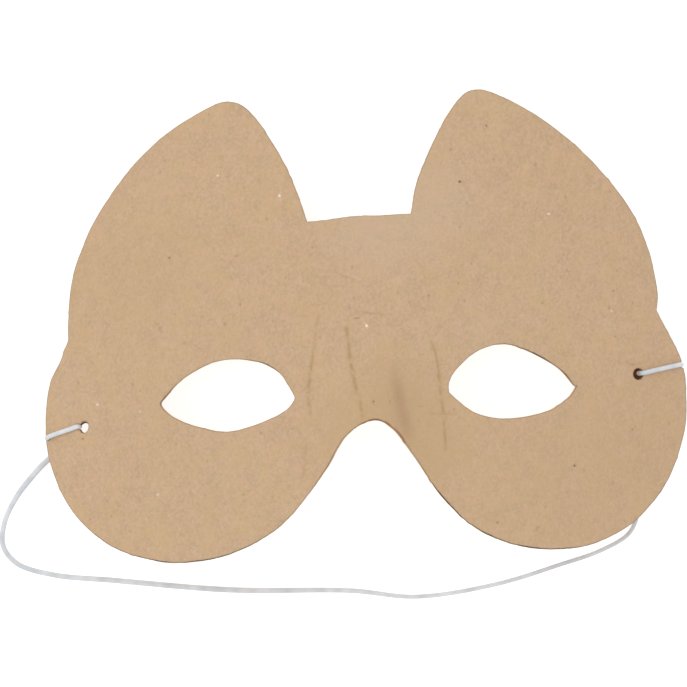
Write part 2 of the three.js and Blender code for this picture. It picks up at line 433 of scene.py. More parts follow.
def evenly(points, step):
    """The same line with points about step apart."""
    lengths = [0.0]
    for a, b in zip(points, points[1:]):
        lengths.append(lengths[-1] + (b - a).length)
    count = max(1, round(lengths[-1] / step))
    line, i = [], 0
    for k in range(count + 1):
        at = lengths[-1] * k / count
        while i < len(points) - 2 and lengths[i + 1] < at:
            i += 1
        share = (at - lengths[i]) / max(lengths[i + 1] - lengths[i], 1e-12)
        line.append(points[i].lerp(points[i + 1], min(share, 1)))
    return line


def centripetal_spline(points, per_span):
    """Points along the centripetal Catmull-Rom curve through points."""
    ends = [2 * points[0] - points[1]], [2 * points[-1] - points[-2]]
    padded = ends[0] + points + ends[1]
    line = []
    for p0, p1, p2, p3 in zip(padded, padded[1:], padded[2:], padded[3:]):
        d1, d2, d3 = ((b - a).length ** 0.5 for a, b in ((p0, p1), (p1, p2), (p2, p3)))
        v1 = ((p1 - p0) / d1 - (p2 - p0) / (d1 + d2) + (p2 - p1) / d2) * d2
        v2 = ((p2 - p1) / d2 - (p3 - p1) / (d2 + d3) + (p3 - p2) / d3) * d2
        for k in range(per_span):
            t = k / per_span
            line.append(
                (2 * p1 - 2 * p2 + v1 + v2) * t ** 3
                + (-3 * p1 + 3 * p2 - 2 * v1 - v2) * t ** 2
                + v1 * t
                + p1
            )
    return line + [points[-1]]


def ramp(value, start, end):
    """0 up to start, 1 from end on, and smooth between them."""
    t = min(max((value - start) / (end - start), 0), 1)
    return t * t * (3 - 2 * t)


def wobble(place, size, seed=0.0):
    """Smooth noise from -1 to 1 that changes over about size."""
    return noise.noise(Vector((place[0] / size, place[1] / size, seed)))


# Camera
def make_camera():
    """The photograph's camera, turned by its roll about the line of sight."""
    camera = bpy.data.objects.new("camera", bpy.data.cameras.new("camera"))
    bpy.context.scene.collection.objects.link(camera)
    camera.data.lens = CAMERA_LENS
    camera.data.sensor_width = SENSOR_WIDTH
    camera.data.clip_start = 0.05
    camera.data.clip_end = 20
    forward = (CAMERA_AIM - CAMERA_PLACE).normalized()
    level = Vector((0, 1, 0))
    level = (level - forward * level.dot(forward)).normalized()
    up = level * math.cos(CAMERA_ROLL) + forward.cross(level) * math.sin(CAMERA_ROLL)
    right = forward.cross(up)
    turn = Matrix((right, up, -forward)).transposed()
    camera.matrix_world = Matrix.Translation(CAMERA_PLACE) @ turn.to_4x4()
    bpy.context.scene.camera = camera


# Materials
class Shader:
    """A small helper that adds nodes to one material."""

    def __init__(self, name):
        self.material = bpy.data.materials.new(name)
        self.material.use_nodes = True
        self.tree = self.material.node_tree
        self.bsdf = self.tree.nodes["Principled BSDF"]
        place = self.tree.nodes.new("ShaderNodeTexCoord").outputs["Object"]
        self.millimetres = self.vector("SCALE", place, Scale=1 / MM)

    def add(self, kind, **settings):
        node = self.tree.nodes.new(kind)
        for name, value in settings.items():
            setattr(node, name, value)
        return node

    def plug(self, value, socket):
        if isinstance(value, bpy.types.NodeSocket):
            self.tree.links.new(value, socket)
        else:
            socket.default_value = value

    def vector(self, operation, first, second=None, Scale=None):
        node = self.add("ShaderNodeVectorMath", operation=operation)
        self.plug(first, node.inputs[0])
        if second is not None:
            self.plug(second, node.inputs[1])
        if Scale is not None:
            node.inputs["Scale"].default_value = Scale
        return node.outputs["Vector"]

    def math(self, operation, first, second=0.0, third=0.0):
        node = self.add("ShaderNodeMath", operation=operation)
        for value, socket in zip((first, second, third), node.inputs):
            self.plug(value, socket)
        return node.outputs[0]

    def stretch(self, scale, turn=0.0, move=(0, 0, 0)):
        node = self.add("ShaderNodeMapping")
        self.plug(self.millimetres, node.inputs["Vector"])
        node.inputs["Scale"].default_value = scale
        node.inputs["Rotation"].default_value = (0, 0, math.radians(turn))
        node.inputs["Location"].default_value = move
        return node.outputs["Vector"]

    def noise(self, coordinates, scale, detail=3.0, roughness=0.55):
        node = self.add("ShaderNodeTexNoise")
        self.plug(coordinates, node.inputs["Vector"])
        node.inputs["Scale"].default_value = scale
        node.inputs["Detail"].default_value = detail
        node.inputs["Roughness"].default_value = roughness
        return node.outputs["Fac"]

    def flecks(self, coordinates, cell, radius, share):
        """Blobs of about radius, one in each cell that is among the chosen share."""
        node = self.add("ShaderNodeTexVoronoi", feature="F1")
        self.plug(coordinates, node.inputs["Vector"])
        node.inputs["Scale"].default_value = 1 / cell
        parts = self.add("ShaderNodeSeparateColor")
        self.plug(node.outputs["Color"], parts.inputs[0])
        chosen = self.math("LESS_THAN", parts.outputs[0], share)
        size = self.math("MULTIPLY_ADD", parts.outputs[1], radius / cell, 0.4 * radius / cell)
        near = self.math("SUBTRACT", size, node.outputs["Distance"])
        soft = self.math("MULTIPLY", near, 3.2 * cell / radius)
        soft.node.use_clamp = True
        return self.math("MULTIPLY", soft, chosen)

    def band(self, value, low, high):
        """0 below low, 1 above high."""
        node = self.add("ShaderNodeMapRange", interpolation_type="SMOOTHSTEP")
        self.plug(value, node.inputs["Value"])
        node.inputs["From Min"].default_value = low
        node.inputs["From Max"].default_value = high
        return node.outputs["Result"]

    def mix(self, share, first, second, blend="MIX"):
        node = self.add("ShaderNodeMix", data_type="RGBA", blend_type=blend)
        self.plug(share, node.inputs["Factor"])
        self.plug(first, node.inputs["A"])
        self.plug(second, node.inputs["B"])
        return node.outputs["Result"]

    def attribute(self, name):
        return self.add("ShaderNodeAttribute", attribute_name=name).outputs["Fac"]

    def bump(self, height, depth):
        node = self.add("ShaderNodeBump")
        node.inputs["Distance"].default_value = depth
        self.plug(height, node.inputs["Height"])
        self.tree.links.new(node.outputs["Normal"], self.bsdf.inputs["Normal"])


def kraft_material():
    """Recycled kraft board: mottled, with short fibres and dark and pale flecks, and painted shade along the
    cut line, the pressed lines, the shoulder right of the nose ridge and the thread holes.
    """
    s = Shader("kraft_board")
    mottle = s.noise(s.millimetres, 0.045, 4.0, 0.6)
    cloud = s.noise(s.stretch((1, 0.8, 1), 20, (31, 7, 0)), 0.28, 4.0, 0.65)
    patch = s.noise(s.stretch((1.0, 0.8, 1), -40, (3, 50, 0)), 1.25, 3.0, 0.6)
    streak = s.noise(s.stretch((1.0, 0.3, 1), 4), 0.9, 3.0, 0.6)
    grain = s.noise(s.stretch((1.0, 0.85, 1), -8), 2.6, 5.0, 0.7)
    fibre_a = s.noise(s.stretch((0.35, 3.0, 1), 12), 1.0, 2.0, 0.5)
    fibre_b = s.noise(s.stretch((3.0, 0.35, 1), 14), 1.0, 2.0, 0.5)

    tone = 0.5
    layers = ((mottle, 0.12), (cloud, 0.3), (patch, 0.68), (streak, 0.16), (grain, 0.5))
    for layer, weight in layers:
        tone = s.math("ADD", tone, s.math("MULTIPLY_ADD", layer, weight, -weight / 2))
    colour = s.mix(s.band(tone, 0.2, 0.8), KRAFT_DARK, KRAFT_LIGHT)
    yellow = s.band(s.noise(s.stretch((1, 1, 1), 0, (90, 40, 0)), 0.13, 5.0, 0.75), 0.4, 0.68)
    colour = s.mix(s.math("MULTIPLY", yellow, 0.55), colour, KRAFT_YELLOW)
    pink = s.band(s.noise(s.stretch((1, 1, 1), 0, (7, 63, 0)), 0.32, 4.0, 0.65), 0.38, 0.66)
    colour = s.mix(s.math("MULTIPLY", pink, 0.22), colour, KRAFT_PINK)

    dark_fibre = s.math("MULTIPLY", s.band(fibre_a, 0.62, 0.76), 0.2)
    colour = s.mix(dark_fibre, colour, FLECK_BROWN)
    pale_fibre = s.math("MULTIPLY", s.band(fibre_b, 0.63, 0.78), 0.16)
    colour = s.mix(pale_fibre, colour, FLECK_PALE)

    for place, cell, radius, share, strength, tint in (
        (s.stretch((1, 0.75, 1), 25), 3.0, 0.4, 0.5, 0.24, FLECK_BROWN),
        (s.stretch((0.4, 1.3, 1), 12, (3, 9, 0)), 4.6, 0.34, 0.5, 0.3, FLECK_BROWN),
        (s.stretch((1, 0.8, 1), 70, (11, 5, 0)), 13.0, 0.42, 0.36, 0.62, FLECK_DARK),
        (s.stretch((0.75, 1.1, 1), -30, (5, 17, 0)), 14.0, 0.4, 0.28, 0.5, FLECK_WHITE),
    ):
        spots = s.flecks(place, cell, radius, share)
        colour = s.mix(s.math("MULTIPLY", spots, strength), colour, tint)
    handled = s.attribute("tone")
    colour = s.mix(s.math("MULTIPLY", s.band(handled, 0.0, 1.0), 0.6), colour, KRAFT_HANDLED)
    paler = s.band(s.math("MULTIPLY", handled, -1.0), 0.0, 1.0)
    colour = s.mix(s.math("MULTIPLY", paler, 0.6), colour, KRAFT_PALE)
    fleck = s.attribute("fleck")
    colour = s.mix(s.band(fleck, 0.0, 1.0), colour, FLECK_WHITE)
    colour = s.mix(s.band(s.math("MULTIPLY", fleck, -1.0), 0.0, 1.0), colour, FLECK_DARK)

    # painted shade along the pressed lines, in broken stretches
    crease = s.attribute("crease")
    broken_crease_shade = s.math("MULTIPLY", crease, s.band(s.noise(s.millimetres, 0.5, 3.0), 0.28, 0.62))
    colour = s.mix(s.math("MULTIPLY", broken_crease_shade, 0.62), colour, CREASE_SHADE_BROWN)
    # painted shade on the steep shoulder right of the nose ridge, on the side away from the key lamp
    colour = s.mix(s.math("MULTIPLY", s.attribute("shoulder_shade"), 0.46), colour, SHOULDER_SHADE_BROWN)
    rub = s.math("MULTIPLY", s.attribute("rub"), s.band(s.noise(s.millimetres, 0.45, 3.0), 0.27, 0.52))
    colour = s.mix(s.band(rub, 0.0, 0.85), colour, RUB_BROWN)

    plies = s.noise(s.stretch((0.5, 0.5, 9.0)), 1.0, 4.0, 0.7)
    wall = s.mix(s.band(plies, 0.35, 0.65), WALL_DARK, WALL_LIGHT)
    ragged = s.math("MULTIPLY_ADD", s.noise(s.millimetres, 1.6, 3.0), 0.7, -0.35)
    cut = s.attribute("cut")
    # painted shade along the cut line, as on a shaded wall, with a ragged inner side
    rim = s.band(s.math("ADD", cut, ragged), 0.1, 0.75)
    colour = s.mix(s.math("MULTIPLY", rim, s.attribute("edge_shade")), colour, EDGE_SHADE_DARK)
    colour = s.mix(s.band(cut, 1.1, 1.9), colour, wall)
    # painted shade on the walls of the thread holes
    colour = s.mix(s.band(cut, 2.1, 2.6), colour, HOLE_WALL_SHADE)
    s.plug(colour, s.bsdf.inputs["Base Color"])
    s.bsdf.inputs["Roughness"].default_value = 0.86
    s.bsdf.inputs["Specular IOR Level"].default_value = 0.22

    height = s.math("MULTIPLY_ADD", grain, 0.6, s.math("MULTIPLY", fibre_a, 0.4))
    height = s.math("MULTIPLY_ADD", fibre_b, 0.4, height)
    height = s.math("MULTIPLY_ADD", cloud, 0.5, height)
    s.bump(height, 0.08 * MM)
    return s.material


def elastic_material():
    """White covered elastic: matt, finely braided, with painted shade greying the hollows of the braid and
    the ends where it runs into the holes.
    """
    s = Shader("elastic")
    # grey and white patches of the elastic itself
    soil_and_hole_shade = s.noise(s.millimetres, 0.12, 3.0, 0.6)
    fuzz = s.noise(s.millimetres, 6.0, 4.0, 0.7)
    colour = s.mix(s.band(soil_and_hole_shade, 0.3, 0.7), ELASTIC_GREY, ELASTIC_WHITE)
    # painted shade in the hollows of the braid
    hollow_shade = s.math("MULTIPLY", s.attribute("hollow_shade"), 0.4)
    colour = s.mix(hollow_shade, colour, ELASTIC_HOLLOW_SHADE)
    # painted shade: the thread's ends are greyed where they run into the holes
    colour = s.mix(s.math("MULTIPLY", s.attribute("soil_and_hole_shade"), 0.6), colour, ELASTIC_HOLE_SHADE)
    s.plug(colour, s.bsdf.inputs["Base Color"])
    s.bsdf.inputs["Roughness"].default_value = 0.7
    s.bsdf.inputs["Specular IOR Level"].default_value = 0.35
    s.bsdf.inputs["Sheen Weight"].default_value = 0.15
    s.bump(fuzz, 0.03 * MM)
    return s.material


# Thread
def thread_radius(along):
    """Half the thread's thickness at a length along it: it is thinner where it is pulled tight."""
    for (at, here), (to, there) in zip(THREAD_THICKNESS, THREAD_THICKNESS[1:]):
        if along <= to * MM:
            return (here + (there - here) * ramp(along, at * MM, to * MM)) * MM / 2
    return THREAD_THICKNESS[-1][1] * MM / 2


def tube(name, line, radius, sides, relief=None):
    """Closed tube along line: radius(along) is its half thickness, relief(angle, along) its surface."""
    tangents = [(b - a).normalized() for a, b in zip([line[0]] + line[:-1], line[1:] + [line[-1]])]
    normal = tangents[0].orthogonal().normalized()
    verts, hollow_shade, along = [], [], 0.0
    for i, (centre, tangent) in enumerate(zip(line, tangents)):
        normal = (normal - tangent * normal.dot(tangent)).normalized()
        other = tangent.cross(normal)
        if i:
            along += (centre - line[i - 1]).length
        for side in range(sides):
            angle = 2 * math.pi * side / sides
            rise = relief(angle, along) if relief else 0.0
            out = normal * math.cos(angle) + other * math.sin(angle)
            verts.append(centre + out * radius(along) * (1 - BRAID_DEPTH * (1 - rise)))
            hollow_shade.append(1 - rise)
    faces = []
    for ring in range(len(line) - 1):
        for side in range(sides):
            a = ring * sides + side
            b = ring * sides + (side + 1) % sides
            faces.append((a, b, b + sides, a + sides))
    last = (len(line) - 1) * sides
    faces.append(tuple(reversed(range(sides))))
    faces.append(tuple(range(last, last + sides)))
    mesh = bpy.data.meshes.new(name)
    mesh.from_pydata(verts, [], faces)
    mesh.update()
    piece = bpy.data.objects.new(name, mesh)
    bpy.context.scene.collection.objects.link(piece)
    mesh.polygons.foreach_set("use_smooth", [True] * len(mesh.polygons))
    # how deep in the braid's hollows each point lies, for their painted shade
    values = mesh.attributes.new("hollow_shade", "FLOAT", "POINT")
    values.data.foreach_set("value", hollow_shade)
    return piece


def soil_and_hole_shade(line):
    """How much painted shade greys the thread at each point of line: it is shaded where it runs into the
    holes.
    """
    lengths = [0.0]
    for a, b in zip(line, line[1:]):
        lengths.append(lengths[-1] + (b - a).length)
    left = [1 - ramp(at, LEFT_HOLE_SHADE - HOLE_SHADE_FADE, LEFT_HOLE_SHADE) for at in lengths]
    right = [1 - ramp(lengths[-1] - at, RIGHT_HOLE_SHADE - HOLE_SHADE_FADE, RIGHT_HOLE_SHADE) for at in lengths]
    return [max(pair) for pair in zip(left, right)]


def braid(angle, along):
    """Height of the braided cover, 0 in its hollows and 1 on its strands."""
    turn = 2 * math.pi * along / BRAID_PITCH
    right = math.cos(BRAID_STRANDS / 2 * (angle + turn))
    left = math.cos(BRAID_STRANDS / 2 * (angle - turn))
    return max(abs(right), abs(left)) ** 1.5


def make_thread():
    """The thread and its middle line, lowered where it is thin so that it lies on the floor."""
    route = [Vector(p) * MM for p in THREAD_ROUTE]
    line = evenly(centripetal_spline(route, 24), THREAD_STEP)
    along = 0.0
    for i, p in enumerate(line):
        if i:
            along += math.hypot(p.x - line[i - 1].x, p.y - line[i - 1].y)
        on_floor = 1 - ramp(p.z, 1.05 * ROUTE_HEIGHT, 2 * ROUTE_HEIGHT)
        p.z = max(p.z - (ROUTE_HEIGHT - thread_radius(along)) * on_floor, thread_radius(along))
    thread = tube("elastic_cord", line, thread_radius, THREAD_SIDES, braid)
    # painted shade near both holes
    hole_shaded = thread.data.attributes.new("soil_and_hole_shade", "FLOAT", "POINT")
    hole_shaded.data.foreach_set("value", [share for share in soil_and_hole_shade(line) for _ in range(THREAD_SIDES)])
    return thread, line


def make_knot(name, node, pull):
    """A pulled-tight overhand knot where the part has its ball, with a short cut tail along pull."""
    low, high = (Vector(p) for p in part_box(node))
    centre = (low + high) / 2
    reach = (high.x - low.x) / 2
    loop = []
    for k in range(96):
        t = 2 * math.pi * k / 96
        loop.append(centre + Vector((
            (math.sin(t) + 2 * math.sin(2 * t)) * reach * 0.235,
            (math.cos(t) - 2 * math.cos(2 * t)) * reach * 0.235,
            -math.sin(3 * t) * reach * 0.34,
        )))
    loop.append(loop[0].copy())
    ring = tube(name, loop, lambda along: KNOT_DIAMETER / 2, KNOT_SIDES)
    start = centre + Vector(pull).normalized() * reach * 0.5
    tail_line = [start + Vector(pull) * MM * share for share in (0, 0.35, 0.7, 1.0)]
    tail = tube(name + "_tail", evenly(tail_line, 0.3 * MM), lambda along: KNOT_DIAMETER / 2, KNOT_SIDES)
    bpy.ops.object.select_all(action="DESELECT")
    for part in (ring, tail):
        part.select_set(True)
    bpy.context.view_layer.objects.active = ring
    bpy.ops.object.join()
    remesh = ring.modifiers.new("fuse", "REMESH")
    remesh.mode = "VOXEL"
    remesh.voxel_size = KNOT_VOXEL
    smooth = ring.modifiers.new("soften", "SMOOTH")
    smooth.iterations = 2
    for modifier in (remesh.name, smooth.name):
        bpy.ops.object.modifier_apply(modifier=modifier)
    ring.data.polygons.foreach_set("use_smooth", [True] * len(ring.data.polygons))
    return ring


# Board outline
def plan_line(points):
    """A smooth line through points given in millimetres."""
    return uniform_spline([Vector(p) * MM for p in points], RIM_STEP)


def board_line():
    """Outer line of the board, counter-clockwise from the right temple."""
    ears_and_brow = plan_line(RIGHT_EAR)[::-1] + plan_line(BROW)[1:-1] + plan_line(LEFT_EAR)
    return ears_and_brow + plan_line(CHEEKS)[::-1][1:-1]


def eye_line(points):
    """A closed smooth line through points given in millimetres."""
    return plan_line(points + points[:1])[:-1]


def hole_line(centre, reach, turn=0.0):
    """A hole of the flat sheet, an oval turned by turn, narrower in the plan where the sheet is bent away."""
    lean = math.asin((abs(centre.x) - BROW_FLAT) / BEND_RADIUS)
    line = []
    count = 36
    for k in range(count):
        angle = 2 * math.pi * k / count
        x, y = reach.x * math.cos(angle), reach.y * math.sin(angle)
        across = (x * math.cos(turn) - y * math.sin(turn)) * math.cos(lean)
        line.append(centre + Vector((across, x * math.sin(turn) + y * math.cos(turn))))
    return line


def cut_nick(loop, centre, turn):
    """A counter-clockwise loop with a round nick that dents it if turn is -1, or widens it if turn is 1."""
    clear = [(p - centre).length >= NICK_RADIUS for p in loop]
    start = next(i for i in range(len(loop)) if clear[i] and not clear[i - 1])
    kept = [p for p in loop[start:] + loop[:start] if (p - centre).length >= NICK_RADIUS]
    before, after = kept[-1] - centre, kept[0] - centre
    first = math.atan2(before.y, before.x)
    sweep = (math.atan2(after.y, after.x) - first) * turn % (2 * math.pi) * turn
    count = 9
    turns = [first + sweep * k / count for k in range(1, count)]
    return kept + [centre + Vector((math.cos(t), math.sin(t))) * NICK_RADIUS for t in turns]


def rim_nick(loop, side, drop):
    """The outer line with the nick of the thread at a drop below the temples."""
    rim = max(side * p.x for p in loop if abs(p.y + drop) < RIM_STEP)
    return cut_nick(loop, Vector((side * (rim + NICK_RADIUS - NICK_DEPTH), -drop)), -1)


def outward(loop, i):
    """Direction to the right of the loop at its point i."""
    along = loop[(i + 1) % len(loop)] - loop[i - 1]
    return Vector((along.y, -along.x)).normalized()


def die_cut(loop, depth, seed):
    """The slightly uneven line that a worn steel rule cuts."""
    line, along = [], 0.0
    for i, p in enumerate(loop):
        along += (p - loop[i - 1]).length
        soft = wobble((along, 0), 6 * MM, seed) + 0.6 * wobble((along, 0), 1.7 * MM, seed + 3)
        nib = ramp(wobble((along, 0), 2.6 * MM, seed + 9), 0.38, 0.6)
        line.append(p + outward(loop, i) * depth * (soft + 1.3 * nib))
    return line


def signed_area(loop):
    """Area of a loop, above 0 if it is counter-clockwise."""
    return sum(a.x * b.y - b.x * a.y for a, b in zip(loop, loop[1:] + loop[:1])) / 2


def board_loops():
    """Outer line counter-clockwise and hole lines clockwise, so that outward() leaves the board."""
    outer = rim_nick(rim_nick(board_line(), -1, LEFT_NICK_DROP), 1, RIGHT_NICK_DROP)
    loops = [die_cut(outer, OUTER_UNEVEN, 1.5)]
    left_hole = cut_nick(hole_line(LEFT_HOLE, LEFT_HOLE_REACH, LEFT_HOLE_TURN), LEFT_HOLE_NICK, 1)
    right_hole = hole_line(RIGHT_HOLE, RIGHT_HOLE_REACH)
    for seed, loop in enumerate((eye_line(LEFT_EYE), eye_line(RIGHT_EYE), left_hole, right_hole)):
        if signed_area(loop) > 0:
            loop = loop[::-1]
        uneven = EYE_UNEVEN if seed < 2 else HOLE_UNEVEN
        loops.append(die_cut(loop, uneven, 21.5 + 10 * seed))
    return loops


# Board relief
def sheet_height(x, y):
    """Front face of the bent sheet with the ridge over the nose, as the part has it."""
    run = max(abs(x) - BROW_FLAT, 0)
    bend = math.sqrt(BEND_RADIUS ** 2 - run ** 2) - BEND_RADIUS
    along = ramp(-y, RIDGE_START_DROP, NOSE_ARCH_DROP)
    across = 1 - ramp(abs(x), 0, RIDGE_HALF_WIDTH)
    return bend + RIDGE_HEIGHT * along * across


CREASE_LINES = [
    (uniform_spline([Vector(p) * MM for p in points], CREASE_STEP), deep * MM, half * MM)
    for points, deep, half in CREASES
]


def segment_distance(p, a, b):
    """Distance of a plan point from the straight line between a and b."""
    along = b - a
    share = min(max((p - a).dot(along) / along.length_squared, 0), 1)
    return (p - a - along * share).length


def crease_depth(p):
    """Depth of the pressed lines at a plan point, and how strongly their painted shade shows, 0 to 1."""
    depth, strength = 0.0, 0.0
    for points, deep, half in CREASE_LINES:
        low_x = min(q.x for q in points) - 4 * half
        high_x = max(q.x for q in points) + 4 * half
        if not low_x < p.x < high_x:
            continue
        gap = min(segment_distance(p, a, b) for a, b in zip(points, points[1:]))
        shape = math.exp(-((gap / half) ** 2))
        depth += deep * shape
        strength = max(strength, shape * deep / (0.25 * MM))
    return depth, min(strength, 1)


def fleck_strength(p):
    """How strongly a marked fleck colours a plan point: up to 1 if pale, down to -1 if dark."""
    for x, y, radius, strength in FLECKS:
        gap = math.hypot(p.x - x * MM, p.y - y * MM) / (radius * MM)
        if gap < 1:
            return strength * (1 - gap ** 2)
    return 0.0


def tone_strength(p):
    """How much the handled patches colour a plan point: above 0 if yellower, below 0 if paler."""
    return sum(
        strength * math.exp(-((p - Vector((x, y)) * MM).length / (radius * MM)) ** 2)
        for x, y, radius, strength in TONES
    )


def shoulder_shade_strength(p):
    """How strongly painted shade darkens the steep shoulder to the right of the ridge, 0 to 1."""
    middle = 9.0 * MM + (-p.y - 20 * MM) * 0.19
    side = math.exp(-(((p.x - middle) / (1.75 * MM)) ** 2))
    return side * ramp(-p.y, 10 * MM, 21 * MM) * (1 - ramp(-p.y, 29 * MM, 38 * MM))


def edge_shade_strength(p):
    """How dark the painted shade along the cut line is: faint and uneven, and darker in places, where the
    rims face away from the light.
    """
    dark = sum(
        strength * math.exp(-((p - Vector((x, y)) * MM).length / (radius * MM)) ** 2)
        for x, y, radius, strength in EDGE_SHADE_TONES
    )
    return min(max(EDGE_SHADE_FAINT + dark, 0), 1) * (0.9 + 0.25 * wobble(p, 5 * MM, 8.0))


def rub_strength(p):
    """Browned strip along the nose arch, 0 to 1, for points on and next to the cut line."""
    along = ramp(p.x, -5 * MM, 1 * MM) * (1 - ramp(p.x, 9 * MM, 13 * MM))
    return along * ramp(p.y, -42 * MM, -37 * MM) * (1 - ramp(p.y, -26 * MM, -22 * MM))


def relief(p):
    """What the scene adds to the front face: unevenness and the shoulder."""
    uneven = 0.16 * MM * wobble(p, 34 * MM, 2.0) + 0.05 * MM * wobble(p, 9 * MM, 5.0)
    fall = ramp(p.x, 6 * MM, 11 * MM) * (1 - ramp(p.x, 11 * MM, 24 * MM))
    shoulder = -0.8 * MM * fall * ramp(-p.y, 4 * MM, 26 * MM)
    return uneven + shoulder


def back_point(p):
    """The point of the back face behind a plan point, one board thickness away along the normal."""
    probe = 0.05 * MM
    slope_x = (sheet_height(p.x + probe, p.y) - sheet_height(p.x - probe, p.y)) / (2 * probe)
    slope_y = (sheet_height(p.x, p.y + probe) - sheet_height(p.x, p.y - probe)) / (2 * probe)
    depth = BOARD_THICKNESS / math.sqrt(1 + slope_x ** 2 + slope_y ** 2)
    off = p - LEFT_HOLE
    upper_right = ramp(off.x, -1.6 * MM, -0.7 * MM) * ramp(off.y, -0.2 * MM, 1.0 * MM)
    skew = LEFT_HOLE_SKEW * upper_right * (1 - ramp(off.length, 2 * MM, 4 * MM))
    return Vector((
        p.x + slope_x * depth + skew.x,
        p.y + slope_y * depth + skew.y,
        sheet_height(p.x, p.y) - depth,
    ))


# Board mesh
def grid_points(loops):
    """Points of a triangular grid that keep clear of every cut line and crease."""
    outer = loops[0]
    low = Vector((min(p.x for p in outer), min(p.y for p in outer)))
    high = Vector((max(p.x for p in outer), max(p.y for p in outer)))
    fixed = inner_points(loops, SECOND_ROW_WIDTH) + [p for p, _ in crease_points()] + fleck_points()
    fixed += [p for loop in loops for p in loop]
    fixed = np.array([tuple(p) for p in fixed])
    points = []
    row, y = 0, low.y
    while y < high.y:
        xs = np.arange(low.x + (row % 2) * GRID_STEP / 2, high.x, GRID_STEP)
        near = fixed[np.abs(fixed[:, 1] - y) < GRID_MARGIN]
        gaps = np.hypot(xs[:, None] - near[None, :, 0], y - near[None, :, 1])
        keep = gaps.min(axis=1) > GRID_MARGIN if len(near) else np.ones(len(xs), bool)
        points += [Vector((x, y)) for x in xs[keep]]
        row += 1
        y += GRID_STEP * math.sqrt(3) / 2
    return points


def crease_points():
    """Points beside the pressed lines, close enough to hold their shape."""
    points = []
    for line, _, half in CREASE_LINES:
        for i, p in enumerate(line):
            along = line[min(i + 1, len(line) - 1)] - line[max(i - 1, 0)]
            out = Vector((along.y, -along.x)).normalized()
            for share in (-1.7, -0.8, 0, 0.8, 1.7):
                points.append((p + out * half * share, share))
    return points


def fleck_points():
    """Rings of points that carry the marked flecks."""
    points = []
    for x, y, radius, _ in FLECKS:
        middle = Vector((x, y)) * MM
        points.append(middle)
        for share, count in ((0.5, 6), (1.0, 9)):
            for k in range(count):
                turn = 2 * math.pi * k / count
                reach = radius * share * (1 + 0.25 * math.sin(2 * turn + x))
                points.append(middle + Vector((math.cos(turn), math.sin(turn))) * reach * MM)
    return points


def inner_points(loops, width):
    """A row of points inside each cut line, at a distance of width."""
    return [
        p - outward(loop, i) * width
        for loop in loops
        for i, p in enumerate(loop)
    ]


